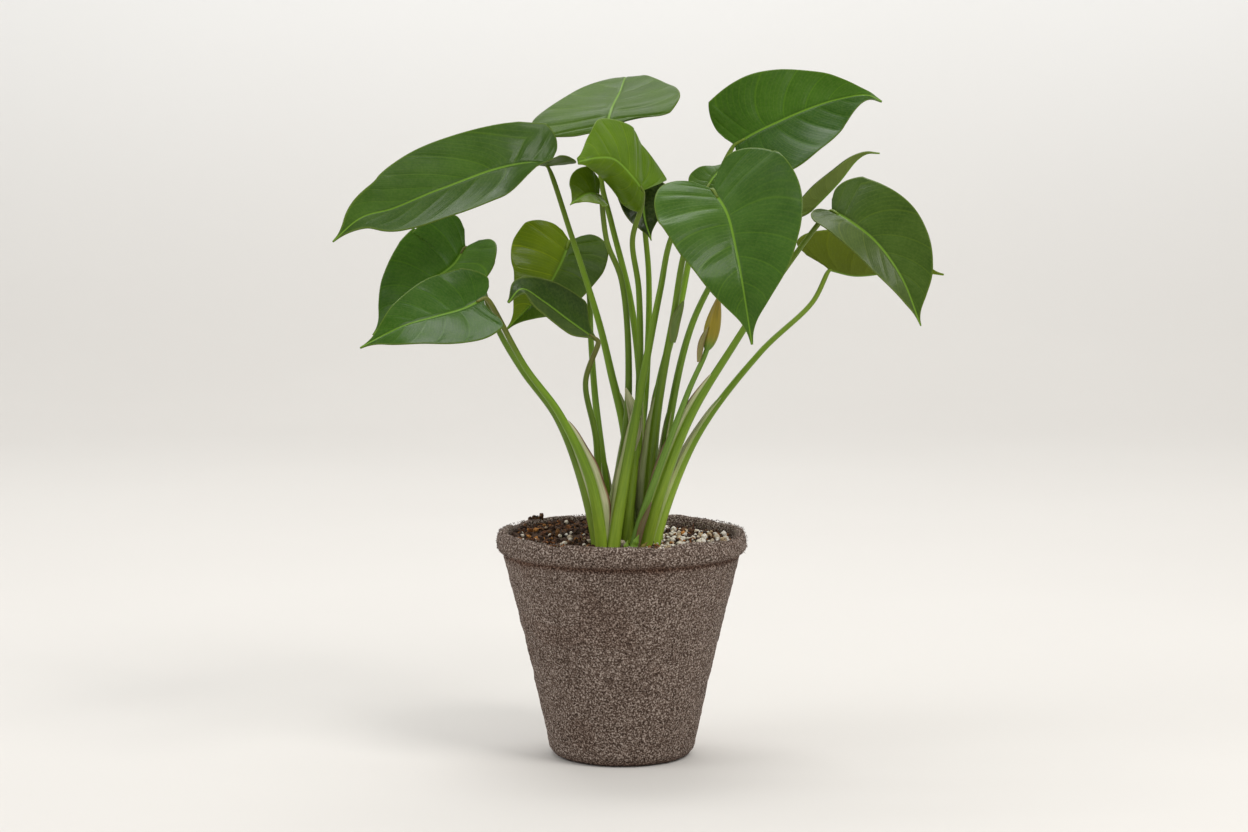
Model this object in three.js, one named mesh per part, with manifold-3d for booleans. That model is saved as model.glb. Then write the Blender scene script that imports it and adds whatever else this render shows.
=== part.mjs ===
// A young philodendron in a round moulded-fibre nursery pot.
//
// Frame: millimetres, +Z up, origin at the centre of the pot's flat base.
// Each leaf is a heart-shaped blade on a petiole of its own, and every petiole stands in the soil.
// Routes of petioles and midribs are hand-laid points, measured from the middle of the soil surface.

import * as THREE from "three";
import { mergeVertices } from "three/addons/utils/BufferGeometryUtils.js";
import Module from "manifold-3d";

const wasm = await Module();
wasm.setup();

// ---- Driving dimensions ----

const POT_HEIGHT = 109;
const BASE_RADIUS = 34;
const RIM_RADIUS = 60;
const RIM_BAND = 10.5;
const RIM_OVERHANG = 2.8;
const RIM_ROUND = 2.5;
const WALL = 3;
const FLOOR = 4;
const BASE_CORNER = 4;
const INNER_CORNER = 3;
const SOIL_BELOW_RIM = 7.5;
const CLEARANCE = 0.3;

const PLANT_SPREAD = 1;
const PLANT_REACH = 1;
const LEAF_SIZE = 1;
const LEAF_THICKNESS = 0.8;
const PETIOLE_BASE_RADIUS = 3;
const PETIOLE_TOP_RADIUS = 1.5;
const PLANTING_DEPTH = 9;

const SPROUT_RADIUS = 2;

const PERLITE_COUNT = 14;
const PERLITE_SIZE = 2;
const PERLITE_RING = 0.74;
const PERLITE_SCATTER = 0.1;
const PERLITE_FROM = -2.4;
const PERLITE_TO = 0.9;

// ---- Mesh detail ----

const POT_SEGMENTS = 36;
const LEAF_ROWS = 12;
const LEAF_COLUMNS = 4;
const PETIOLE_SIDES = 6;
const PETIOLE_STEPS = 12;
const SLIVER = 0.03;

// ---- Finishes ----

const finish = (color, roughness) => new THREE.MeshStandardMaterial({ color, roughness, metalness: 0 });
const FIBRE = finish(0x69584e, 0.95);
const SOIL = finish(0x2e2118, 1);
const PERLITE = finish(0xd8cfbf, 0.9);
const BLADE = finish(0x3f6420, 0.45);
const STALK = finish(0x6c8c35, 0.5);

// ---- The plant, leaf by leaf ----
// petiole: from the soil to the blade.  rib: the rest of the midrib, to the tip.
// half: the blade's half widths.  lobe: how far the basal lobes reach back.
// belly: below 1 it moves the widest part towards the tip.  faces: where its upper side looks.
// fold: how far each half is folded up from the rib, in degrees.  curl: how much further it bends.

const LEAVES = [
  {
    name: "leaf_01",
    petiole: [[4, -2, 0], [2, -1, 51], [-5, -2, 83], [-11, -3, 108], [-24, -2, 149], [-35, 1, 181]],
    rib: [[-44, -2, 183], [-60, -7, 180], [-85, -16, 170], [-109, -26, 160], [-134, -35, 148]],
    half: [20, 22],
    lobe: 0.35,
    belly: 0.52,
    faces: [0, -0.78, 0.62],
    fold: [4, 8],
    curl: [8, 10],
  },
  {
    name: "leaf_02",
    petiole: [[-14, -9, 0], [-19, -4, 32], [-31, 6, 61], [-48, 15, 83], [-61, 25, 104], [-75, 36, 141]],
    rib: [[-82, 34, 133], [-93, 32, 125], [-107, 29, 115], [-121, 27, 99]],
    half: [27, 27],
    lobe: 0.9,
    belly: 0.9,
    faces: [-0.3, -0.75, 0.6],
    fold: [8, 8],
    curl: [8, 8],
  },
  {
    name: "leaf_03",
    petiole: [[-12, -16, 0], [-16, -21, 34], [-29, -29, 66], [-45, -35, 89], [-62, -44, 121]],
    rib: [[-73, -52, 117], [-85, -61, 114], [-100, -70, 110], [-118, -77, 101]],
    half: [27, 20],
    lobe: 0.6,
    belly: 0.9,
    faces: [0, -0.66, 0.75],
    fold: [4, 8],
    curl: [6, 8],
  },
  {
    name: "leaf_04",
    petiole: [[-4, -2, 0], [-9, 10, 37], [-13, 24, 69], [-15, 32, 94], [-17, 40, 125], [-24, 44, 144]],
    rib: [[-30, 40, 133], [-37, 33, 121], [-47, 26, 111], [-56, 22, 102]],
    half: [23, 22],
    lobe: 0.6,
    belly: 1,
    faces: [-0.2, -0.9, 0.35],
    fold: [8, 10],
    curl: [8, 10],
  },
  {
    name: "leaf_05",
    petiole: [[-12, -2, 0], [-12, -13, 51], [-17, -25, 81], [-11, -34, 100]],
    rib: [[-22, -40, 109], [-36, -46, 120], [-46, -51, 126], [-52, -55, 120]],
    half: [12, 17],
    lobe: 0.2,
    belly: 0.65,
    faces: [0.25, -0.5, 0.85],
    fold: [-4, 6],
    curl: [-10, 10],
  },
  {
    name: "leaf_06",
    petiole: [[8, 7, 0], [9, 10, 74], [4, 12, 117], [-5, 12, 154], [-10, 10, 176], [-8, 8, 197]],
    rib: [[-5, 20, 208], [-1, 38, 217], [2, 54, 224], [4, 64, 221]],
    half: [40, 31],
    lobe: 0.3,
    belly: 1,
    faces: [0, -0.3, 0.95],
    fold: [-6, 6],
    curl: [-6, 4],
  },
  {
    name: "leaf_07",
    petiole: [[2, -9, 0], [8, -9, 70], [8, -11, 123], [5, -11, 147], [9, -15, 162], [10, -19, 169]],
    rib: [[6, -25, 176], [-3, -31, 185], [-11, -39, 186], [-20, -45, 184]],
    half: [10, 24],
    lobe: 0.8,
    belly: 1,
    faces: [0.3, -0.75, 0.6],
    fold: [-15, 5],
    curl: [-30, 5],
  },
  {
    name: "leaf_08",
    petiole: [[12, -2, 0], [16, -8, 60], [24, -18, 109], [30, -27, 145], [41, -40, 171]],
    rib: [[48, -53, 161], [52, -64, 144], [55, -71, 127], [59, -70, 102]],
    half: [36, 32],
    lobe: 1,
    belly: 1,
    faces: [0, -0.95, 0.3],
    fold: [8, 8],
    curl: [6, 6],
  },
  {
    name: "leaf_09",
    petiole: [[15, 6, 0], [17, 15, 69], [28, 24, 113], [37, 32, 153], [54, 40, 190]],
    rib: [[69, 42, 199], [87, 44, 207], [105, 46, 213], [127, 46, 214]],
    half: [28, 34],
    lobe: 0.3,
    belly: 0.85,
    faces: [-0.1, -0.8, 0.6],
    fold: [8, 6],
    curl: [8, 6],
  },
  {
    name: "leaf_10",
    petiole: [[21, 3, 0], [23, 16, 59], [37, 32, 111], [60, 42, 144], [91, 50, 158]],
    rib: [[106, 48, 173], [115, 46, 184], [120, 45, 187], [126, 44, 187]],
    half: [12, 12],
    lobe: 1,
    belly: 1,
    faces: [-0.5, 0, 0.85],
    fold: [60, 55],
    curl: [10, 10],
  },
  {
    name: "leaf_11",
    petiole: [[11, -10, 0], [30, -16, 59], [53, -22, 99], [71, -27, 127], [96, -34, 161]],
    rib: [[105, -44, 157], [117, -53, 147], [128, -60, 131], [136, -64, 110]],
    half: [20, 17],
    lobe: 0.6,
    belly: 0.68,
    faces: [-0.1, -0.75, 0.6],
    fold: [8, 4],
    curl: [6, 4],
  },
  {
    name: "leaf_12",
    petiole: [[19, -5, 0], [35, 9, 50], [67, 23, 91], [93, 33, 115], [101, 36, 130]],
    rib: [[114, 39, 128], [131, 44, 129], [146, 49, 129], [159, 54, 127]],
    half: [20, 22],
    lobe: 1,
    belly: 1,
    faces: [0, 0, 1],
    fold: [30, 52],
    curl: [10, 10],
  },
  {
    name: "leaf_13",
    petiole: [[-6, -9, 0], [3, -9, 70], [0, -8, 127], [-7, -12, 146], [-10, -17, 167]],
    rib: [[-15, -22, 169], [-20, -28, 167], [-24, -31, 164]],
    half: [9, 14],
    lobe: 0.6,
    belly: 1,
    faces: [0.1, -0.8, 0.6],
    fold: [5, 10],
    curl: [5, 5],
  },
  {
    name: "leaf_14",
    petiole: [[2, 14, 0], [11, 18, 68], [13, 18, 126], [11, 17, 151], [9, 12, 171]],
    rib: [[10, 8, 165], [11, 4, 156], [14, 2, 146]],
    half: [13, 13],
    lobe: 0.6,
    belly: 1,
    faces: [0.2, -0.9, 0.4],
    fold: [5, 5],
    curl: [5, 5],
  },
  {
    name: "leaf_15",
    petiole: [[-4, -17, 0], [8, -16, 71], [18, -15, 123], [24, -6, 149], [40, 9, 170]],
    rib: [[44, 14, 176], [48, 18, 180], [51, 22, 183]],
    half: [9, 11],
    lobe: 0.6,
    belly: 1,
    faces: [-0.3, -0.6, 0.7],
    fold: [10, 10],
    curl: [5, 5],
  },
];

// The youngest leaf, still rolled into a slender point.
const ROLLED_LEAF = {
  name: "rolled_leaf",
  route: [[5, -17, 0], [31, -19, 75], [40, -20, 96], [43, -20, 109], [46, -21, 123]],
  rollStart: 0.86,
  rollRadius: 2.8,
};

// A new shoot, just out of the soil.
const SPROUT = { name: "sprout", route: [[5, -26, 0], [6, -27, 4], [8, -28, 9]] };

// ---- Places that follow from the dimensions ----

const soilTop = POT_HEIGHT - SOIL_BELOW_RIM;
const bandFoot = POT_HEIGHT - RIM_BAND;
const neckRadius = RIM_RADIUS - RIM_OVERHANG;
const outerRadiusAt = (z) => BASE_RADIUS + (neckRadius - BASE_RADIUS) * Math.min(z / bandFoot, 1);
const innerRadiusAt = (z) => outerRadiusAt(z) - WALL;

// A point given from the middle of the soil surface, in the pot's frame.
const plantPoint = ([x, y, z]) =>
  new THREE.Vector3(x * PLANT_SPREAD, y * PLANT_SPREAD, soilTop + z * PLANT_REACH);

// ---- Solids ----

function toSolid(geometry) {
  const bare = geometry.clone();
  bare.deleteAttribute("normal");
  bare.deleteAttribute("uv");
  const merged = mergeVertices(bare, 1e-4);
  return new wasm.Manifold(
    new wasm.Mesh({
      numProp: 3,
      vertProperties: merged.attributes.position.array,
      triVerts: new Uint32Array(merged.index.array),
    }),
  );
}

function toGeometry(solid) {
  const mesh = solid.getMesh();
  const geometry = new THREE.BufferGeometry();
  geometry.setAttribute("position", new THREE.BufferAttribute(mesh.vertProperties, 3));
  geometry.setIndex(new THREE.BufferAttribute(mesh.triVerts, 1));
  const flat = geometry.toNonIndexed();
  flat.computeVertexNormals();
  return flat;
}

const apart = (a, b) =>
  [0, 1, 2].some((i) => a.min[i] > b.max[i] || b.min[i] > a.max[i]);

// What is left of a solid beside its neighbours, each of which is given with the gap it keeps.
function besideNeighbours(solid, neighbours) {
  let left = solid;
  for (const neighbour of neighbours) {
    if (!apart(left.boundingBox(), neighbour.boundingBox())) left = left.subtract(neighbour);
  }
  const bodies = left.simplify(SLIVER).decompose();
  return bodies.reduce((most, body) => (body.volume() > most.volume() ? body : most));
}

// ---- Pot ----

const turned = (profile) =>
  new THREE.LatheGeometry(profile.map(([r, z]) => new THREE.Vector2(r, z)), POT_SEGMENTS)
    .rotateX(Math.PI / 2);

// The outline of half a section, from the middle of the base out, up, over the rim and back inside.
function potGeometry() {
  const lipRadius = RIM_RADIUS - (RIM_OVERHANG + WALL) / 2;
  return turned([
    [0, 0],
    [BASE_RADIUS - BASE_CORNER, 0],
    [BASE_RADIUS - BASE_CORNER * 0.3, BASE_CORNER * 0.3],
    [outerRadiusAt(BASE_CORNER), BASE_CORNER],
    [neckRadius, bandFoot],
    [RIM_RADIUS - RIM_ROUND * 0.3, bandFoot + RIM_ROUND * 0.4],
    [RIM_RADIUS, bandFoot + RIM_ROUND * 1.4],
    [RIM_RADIUS, POT_HEIGHT - RIM_ROUND * 1.2],
    [RIM_RADIUS - RIM_ROUND * 0.3, POT_HEIGHT - RIM_ROUND * 0.3],
    [lipRadius, POT_HEIGHT],
    [innerRadiusAt(POT_HEIGHT) + RIM_ROUND * 0.3, POT_HEIGHT - RIM_ROUND * 0.3],
    [innerRadiusAt(POT_HEIGHT), POT_HEIGHT - RIM_ROUND * 1.2],
    [innerRadiusAt(bandFoot), bandFoot],
    [innerRadiusAt(FLOOR + INNER_CORNER), FLOOR + INNER_CORNER],
    [innerRadiusAt(FLOOR) - INNER_CORNER, FLOOR],
    [0, FLOOR],
  ]);
}

// ---- Soil ----

// The soil fills the pot to its surface, a clearance inside the wall.
function soilGeometry() {
  const wallAt = (z) => innerRadiusAt(z) - CLEARANCE;
  const bed = FLOOR + CLEARANCE;
  const shoulder = soilTop > bandFoot ? [[wallAt(bandFoot), bandFoot]] : [];
  return turned([
    [0, bed],
    [wallAt(FLOOR) - INNER_CORNER - CLEARANCE, bed],
    [wallAt(FLOOR + INNER_CORNER), bed + INNER_CORNER + CLEARANCE],
    ...shoulder,
    [wallAt(soilTop), soilTop],
    [0, soilTop],
  ]);
}

// ---- Leaf blade ----
// The outline of half a blade: along the rib as a share of its length, and out from it as a share
// of the half width.  It starts beside the notch, rounds the basal lobe and runs out to a drip tip.
// The notch is a V from the start of the rib, which lies just past the petiole's end.

const JOINT_GAP = 2 * PETIOLE_TOP_RADIUS;

const OUTLINE = new THREE.SplineCurve(
  [
    [-0.11, 0.2], [-0.16, 0.42], [-0.12, 0.7], [0.02, 0.93], [0.2, 1],
    [0.4, 0.88], [0.6, 0.62], [0.77, 0.32], [0.89, 0.12], [1, 0.025],
  ].map(([along, out]) => new THREE.Vector2(along, out)),
);

function ribFrame(leaf, rib, along) {
  const at = THREE.MathUtils.clamp(along, 0, 1);
  const forward = rib.getTangentAt(at);
  const side = new THREE.Vector3(...leaf.faces).cross(forward).normalize();
  const up = forward.clone().cross(side);
  const point = rib.getPointAt(at).addScaledVector(forward, (along - at) * rib.getLength());
  return { point, side, up };
}

// One blade as a thin closed body: a box of rows and columns, laid over the bent heart shape.
function bladeGeometry(leaf, grow = 0) {
  const ribPoints = leaf.rib.map(plantPoint);
  const [beforeEnd, petioleEnd] = leaf.petiole.slice(-2).map(plantPoint);
  const rising = petioleEnd.clone().sub(beforeEnd).normalize();
  const leaving = ribPoints[0].clone().sub(petioleEnd).normalize();
  const joint = petioleEnd.addScaledVector(rising.add(leaving).normalize(), JOINT_GAP);
  const rib = new THREE.CatmullRomCurve3([joint, ...ribPoints], false, "centripetal");
  const geometry = new THREE.BoxGeometry(1, 1, 1, LEAF_COLUMNS, LEAF_ROWS, 1);
  const position = geometry.attributes.position;
  for (let i = 0; i < position.count; i += 1) {
    const across = position.getX(i) * -2;
    const row = position.getY(i) + 0.5;
    const face = Math.sign(position.getZ(i));
    const edge = OUTLINE.getPointAt(row);
    edge.x = edge.x < 0 ? edge.x * leaf.lobe : edge.x ** leaf.belly;
    const which = across >= 0 ? 0 : 1;
    const share = Math.abs(across);
    const along = THREE.MathUtils.lerp(row ** 1.5, edge.x, share);
    const out = (leaf.half[which] * LEAF_SIZE * edge.y + grow) * share;
    const angle = THREE.MathUtils.degToRad(leaf.fold[which] + leaf.curl[which] * share * edge.y);
    const { point, side, up } = ribFrame(leaf, rib, along);
    const lean = angle * Math.min(out / LEAF_THICKNESS, 1);
    const lift = face * (LEAF_THICKNESS / 2 + grow);
    const aside = (out * Math.cos(angle) - lift * Math.sin(lean)) * (across >= 0 ? 1 : -1);
    const raise = out * Math.sin(angle) + lift * Math.cos(lean);
    point.addScaledVector(side, aside).addScaledVector(up, raise);
    position.setXYZ(i, point.x, point.y, point.z);
  }
  return geometry;
}

// ---- Petiole ----

// A round stalk along a route, whose radius follows a function of the share of its length.
function stalkGeometry(points, radiusAt, grow = 0) {
  const start = points[0].clone();
  start.z = soilTop - PLANTING_DEPTH;
  const route = new THREE.CatmullRomCurve3([start, ...points], false, "centripetal");
  const frames = route.computeFrenetFrames(PETIOLE_STEPS);
  const geometry = new THREE.CylinderGeometry(1, 1, 1, PETIOLE_SIDES, PETIOLE_STEPS).rotateX(Math.PI / 2);
  const position = geometry.attributes.position;
  for (let i = 0; i < position.count; i += 1) {
    const share = position.getZ(i) + 0.5;
    const step = Math.round(share * PETIOLE_STEPS);
    const radius = radiusAt(share) + grow;
    const point = route.getPointAt(share)
      .addScaledVector(frames.normals[step], position.getX(i) * radius)
      .addScaledVector(frames.binormals[step], position.getY(i) * radius);
    position.setXYZ(i, point.x, point.y, step === 0 ? point.z - grow : point.z);
  }
  return geometry;
}

const petioleRadius = (share) =>
  PETIOLE_TOP_RADIUS + (PETIOLE_BASE_RADIUS - PETIOLE_TOP_RADIUS) * (1 - share) ** 1.5;

const petioleGeometry = (leaf, grow = 0) =>
  stalkGeometry(leaf.petiole.map(plantPoint), petioleRadius, grow);

function rolledLeafGeometry(grow = 0) {
  const { rollStart, rollRadius, route } = ROLLED_LEAF;
  const radiusAt = (share) => {
    const stalk = petioleRadius(share) * 0.7;
    if (share < rollStart) return stalk;
    const roll = (share - rollStart) / (1 - rollStart);
    return Math.max(0.4, stalk * (1 - roll) + rollRadius * Math.sin(Math.PI * roll ** 0.7));
  };
  return stalkGeometry(route.map(plantPoint), radiusAt, grow);
}

function sproutGeometry(grow = 0) {
  const radiusAt = (share) => SPROUT_RADIUS * Math.max(0.2, Math.sin(Math.PI * (0.3 + 0.68 * share)));
  return stalkGeometry(SPROUT.route.map(plantPoint), radiusAt, grow);
}

// ---- Perlite ----

// Rough white grains that lie on the soil, round its front and right side.
function perliteGeometry(index) {
  const turn = PERLITE_FROM + ((PERLITE_TO - PERLITE_FROM) * (index + 0.5)) / PERLITE_COUNT;
  const ring = (neckRadius - WALL) * (PERLITE_RING + PERLITE_SCATTER * Math.sin(index * 2.7));
  const size = PERLITE_SIZE * (1 + 0.25 * Math.sin(index * 2.3));
  const grain = new THREE.IcosahedronGeometry(size, 0).scale(1, 0.85, 0.7).rotateZ(index);
  grain.computeBoundingBox();
  grain.translate(ring * Math.cos(turn), ring * Math.sin(turn), soilTop + CLEARANCE - grain.boundingBox.min.z);
  return grain;
}

// ---- Assembly ----

const plant = new THREE.Group();

function add(name, geometry, material) {
  const mesh = new THREE.Mesh(geometry, material);
  mesh.name = name;
  plant.add(mesh);
}

const placed = [];

// Adds a piece trimmed to sit beside all those placed before it.
function addBeside(name, makeGeometry, material) {
  const solid = besideNeighbours(toSolid(makeGeometry()), placed);
  placed.push(toSolid(makeGeometry(CLEARANCE)));
  add(name, toGeometry(solid), material);
}

for (const leaf of LEAVES) {
  addBeside(leaf.name.replace("leaf", "petiole"), (grow) => petioleGeometry(leaf, grow), STALK);
}
addBeside(ROLLED_LEAF.name, rolledLeafGeometry, STALK);
addBeside(SPROUT.name, sproutGeometry, STALK);
for (const leaf of LEAVES) {
  addBeside(leaf.name, (grow) => bladeGeometry(leaf, grow), BLADE);
}

add("pot", potGeometry(), FIBRE);
add("soil", toGeometry(besideNeighbours(toSolid(soilGeometry()), placed)), SOIL);

for (let index = 0; index < PERLITE_COUNT; index += 1) {
  const grain = besideNeighbours(toSolid(perliteGeometry(index)), placed);
  add(`perlite_${String(index + 1).padStart(2, "0")}`, toGeometry(grain), PERLITE);
}

export default plant;
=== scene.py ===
# The looks of a young philodendron in a round moulded-fibre nursery pot.
# Shapes are built in millimetres in the part's own frame, and each mesh is scaled to metres.

import itertools
import math

import bmesh
import bpy
import numpy as np
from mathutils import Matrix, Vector


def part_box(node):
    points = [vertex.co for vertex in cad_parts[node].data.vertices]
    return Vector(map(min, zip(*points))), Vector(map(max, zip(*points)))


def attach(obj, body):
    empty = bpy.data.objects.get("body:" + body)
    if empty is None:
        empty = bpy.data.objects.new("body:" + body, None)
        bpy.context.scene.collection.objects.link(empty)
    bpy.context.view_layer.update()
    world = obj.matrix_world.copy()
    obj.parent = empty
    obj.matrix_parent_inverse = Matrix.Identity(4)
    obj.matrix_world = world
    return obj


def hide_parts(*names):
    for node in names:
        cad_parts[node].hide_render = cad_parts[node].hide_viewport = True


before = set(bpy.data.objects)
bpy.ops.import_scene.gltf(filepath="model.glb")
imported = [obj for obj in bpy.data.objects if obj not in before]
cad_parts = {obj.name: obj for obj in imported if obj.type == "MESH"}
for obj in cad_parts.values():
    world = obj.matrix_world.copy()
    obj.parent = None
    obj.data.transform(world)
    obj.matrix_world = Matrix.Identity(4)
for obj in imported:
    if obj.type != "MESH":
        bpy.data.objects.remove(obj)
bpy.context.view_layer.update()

MM = 0.001
RNG = np.random.default_rng(7)


def node_box(node):
    low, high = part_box(node)
    return np.array(low) / MM, np.array(high) / MM


# ---- Sizes, in millimetres ----

# Taken from the frame.
POT_HIGH = node_box("pot")[1]
POT_HEIGHT = POT_HIGH[2]
RIM_RADIUS = POT_HIGH[0]
SOIL_TOP = node_box("soil")[1][2]

# The pot: the band round its rim, its wall and its foot.
RIM_BAND = 10.5
RIM_OVERHANG = 2.8
WALL = 3.0
BASE_RADIUS = 34.0
NECK_RADIUS = RIM_RADIUS - RIM_OVERHANG
BAND_FOOT = POT_HEIGHT - RIM_BAND
POT_FLOOR = 4.0
SOIL_UNDERSIDE = 4.6
RIM_FIBRES = 1800
OUTSIDE_FIBRES = 0.3  # the share of them on the band's outer side

# The plant.
JOINT_GAP = 1.6
PETIOLE_FOOT_RADIUS = 3
PETIOLE_TIP_RADIUS = 1.25
STALK_BURIED = 9
BROWN_TOPPED = ("02", "03", "05")  # petioles that turn brown near the blade

# How many points the meshes have.
POT_STEP, POT_COLUMNS = 0.72, 520
SOIL_RINGS, SOIL_COLUMNS = 90, 300
BLADE_ROWS, BLADE_COLUMNS = 150, 69
STALK_STEPS, STALK_SIDES = 130, 18
SHEATH_COLUMNS = 9


# ---- Noise and curves ----

# Large odd numbers that scatter neighbouring cells over the whole 32-bit range.
CELL_FACTORS = (73856093, 19349663, 83492791)
SEED_FACTOR = 2654435761
HASH_ROUNDS = ((13, 1274126177), (16, 2246822519))


def hashed(cells, seed):
    """A number between -1 and 1 for each whole-numbered cell."""
    h = seed * SEED_FACTOR
    for axis, factor in enumerate(CELL_FACTORS):
        h = h ^ cells[..., axis] * factor
    for shift, factor in HASH_ROUNDS:
        h = (h ^ (h >> shift)) * factor & 0xFFFFFFFF
    return (h ^ (h >> 15)) / 0x7FFFFFFF - 1.0


def noise(points, size, seed=0):
    """Smooth noise between -1 and 1, with features of about the given size."""
    scaled = points / size
    cell = np.floor(scaled).astype(np.int64)
    part = scaled - cell
    part = part * part * (3 - 2 * part)
    total = np.zeros(len(points))
    for corner in itertools.product((0, 1), repeat=3):
        weight = np.prod(np.where(corner, part, 1 - part), axis=1)
        total += weight * hashed(cell + np.array(corner), seed)
    return total


def smooth(value, low, high):
    """0 up to low, 1 from high on, with an easy slope between."""
    share = np.clip((value - low) / (high - low), 0, 1)
    return share * share * (3 - 2 * share)


def distances(line):
    """How far along a line each of its points is."""
    return np.concatenate([[0], np.cumsum(np.linalg.norm(np.diff(line, axis=0), axis=1))])


def between(t, low, high, a, b):
    """From a at low to b at high."""
    return (high - t) / (high - low) * a + (t - low) / (high - low) * b


def centripetal(points, steps=240, span_steps=40):
    """A smooth curve through points, as positions evenly spaced along it, and its length."""
    p = np.array(points, float)
    p = np.vstack([2 * p[0] - p[1], p, 2 * p[-1] - p[-2]])
    out = []
    for a, b, c, d in zip(p, p[1:], p[2:], p[3:]):
        gaps = [max(np.linalg.norm(q - p), 1e-6) ** 0.5 for p, q in ((a, b), (b, c), (c, d))]
        t1, t2, t3 = np.cumsum(gaps)
        t = np.linspace(t1, t2, span_steps, endpoint=False)[:, None]
        ab, bc, cd = between(t, 0, t1, a, b), between(t, t1, t2, b, c), between(t, t2, t3, c, d)
        abc, bcd = between(t, 0, t2, ab, bc), between(t, t1, t3, bc, cd)
        out.append(between(t, t1, t2, abc, bcd))
    line = np.vstack(out + [p[-2][None]])
    run = distances(line)
    even = np.linspace(0, run[-1], steps)
    return np.stack([np.interp(even, run, line[:, k]) for k in range(3)], 1), run[-1]


def angles(count):
    """Angles evenly spaced round a full turn."""
    return np.linspace(0, 2 * np.pi, count, endpoint=False)


def unit(v):
    return v / np.maximum(np.linalg.norm(v, axis=-1, keepdims=True), 1e-9)


def carried_frames(line, start):
    """Tangents along a line, and one sideways direction carried along it without twist."""
    tangent = unit(np.gradient(line, axis=0))
    aside = np.zeros_like(line)
    current = np.array(start, float)
    for i, t in enumerate(tangent):
        current = current - t * (current @ t)
        current = current / np.linalg.norm(current)
        aside[i] = current
    return tangent, aside


def spokes(aside, other, turn):
    """For each point of a line, the directions at the given angles round it."""
    return aside[:, None] * np.cos(turn)[None, :, None] + other[:, None] * np.sin(turn)[None, :, None]


# ---- Meshes ----


def linked(name, data):
    """A new object in the scene."""
    thing = bpy.data.objects.new(name, data)
    bpy.context.scene.collection.objects.link(thing)
    return thing


def mesh_object(name, points, faces, attributes=None, smooth_faces=True):
    """A mesh from points in millimetres and arrays of faces with equal corner counts."""
    mesh = bpy.data.meshes.new(name)
    corners = np.concatenate([f.reshape(-1) for f in faces]).astype(np.int32)
    sizes = np.concatenate([np.full(len(f), f.shape[1]) for f in faces])
    starts = np.concatenate([[0], np.cumsum(sizes)[:-1]]).astype(np.int32)
    mesh.vertices.add(len(points))
    mesh.vertices.foreach_set("co", (np.asarray(points) * MM).astype(np.float32).ravel())
    mesh.loops.add(len(corners))
    mesh.loops.foreach_set("vertex_index", corners)
    mesh.polygons.add(len(sizes))
    mesh.polygons.foreach_set("loop_start", starts)
    mesh.update(calc_edges=True)
    mesh.polygons.foreach_set("use_smooth", np.full(len(sizes), smooth_faces))
    for key, values in (attributes or {}).items():
        values = np.asarray(values, np.float32)
        kind, field = ("FLOAT", "value") if values.ndim == 1 else ("FLOAT_VECTOR", "vector")
        mesh.attributes.new(key, kind, "POINT").data.foreach_set(field, values.ravel())
    mesh.validate()
    return linked(name, mesh)


def grid_faces(rows, columns, first=0, closed=False):
    """Quads over a grid of points, row by row. A closed grid joins its last column to its first."""
    across = np.arange(columns if closed else columns - 1)
    a = (np.arange(rows - 1)[:, None] * columns + across).ravel()
    b = (np.arange(rows - 1)[:, None] * columns + (across + 1) % columns).ravel()
    return np.stack([a, b, b + columns, a + columns], 1) + first


def tube_faces(rows, sides):
    """The side faces and the two ends of a tube made of rings of points."""
    ends = np.array([np.arange(sides)[::-1], (rows - 1) * sides + np.arange(sides)])
    return [grid_faces(rows, sides, closed=True), ends]


def turned(radius, height, columns):
    """The points of a turned form, row by row, from the radius and height of each row."""
    turn = angles(columns)
    ring = [radius * np.cos(turn), radius * np.sin(turn), height * np.ones(columns)]
    return np.stack(ring, 2).reshape(-1, 3)


def turned_faces(rows, columns, downwards):
    """The faces of a turned form. Two more points follow its grid, in the middle of its ends."""
    sides, ring, count = grid_faces(rows, columns, closed=True), np.arange(columns), rows * columns
    following = np.roll(ring, -1)
    first = np.stack([following, ring, np.full(columns, count)], 1)
    last = np.stack([ring, following, np.full(columns, count + 1)], 1)
    last[:, :2] += count - columns
    if downwards:
        sides = sides[:, ::-1]
        first, last = first[:, [1, 0, 2]], last[:, [1, 0, 2]]
    return [sides, first, last]


def shell(front, back, rows, columns):
    """A thin closed sheet, from the grids of points of its two sides."""
    count = rows * columns
    faces = grid_faces(rows, columns)
    index = np.arange(count).reshape(rows, columns)
    ring = np.concatenate([index[0, :-1], index[:-1, -1], index[-1, :0:-1], index[:0:-1, 0]])
    wall = np.stack([ring, np.roll(ring, -1), np.roll(ring, -1) + count, ring + count], 1)
    return np.vstack([front, back]), [faces, faces[:, ::-1] + count, wall[:, ::-1]]


def flipped(faces):
    """The same faces, facing the other way."""
    return [f[:, ::-1] for f in faces]


def joined(parts):
    """Several (points, faces, attributes) as one, with faces' numbers moved up."""
    points, faces, attributes, first = [], [], {}, 0
    for p, f, a in parts:
        points.append(p)
        faces += [x + first for x in f]
        for key, value in a.items():
            attributes.setdefault(key, []).append(value)
        first += len(p)
    by_size = {}
    for f in faces:
        by_size.setdefault(f.shape[1], []).append(f)
    return (
        np.vstack(points),
        [np.vstack(f) for f in by_size.values()],
        {key: np.concatenate(value) for key, value in attributes.items()},
    )


# ---- Materials ----


def srgb(red, green, blue):
    """A colour from its 0 to 255 screen values, as linear light."""

    def linear(c):
        return c / 255 / 12.92 if c <= 10 else ((c / 255 + 0.055) / 1.055) ** 2.4

    return tuple(linear(c) for c in (red, green, blue))


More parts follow.
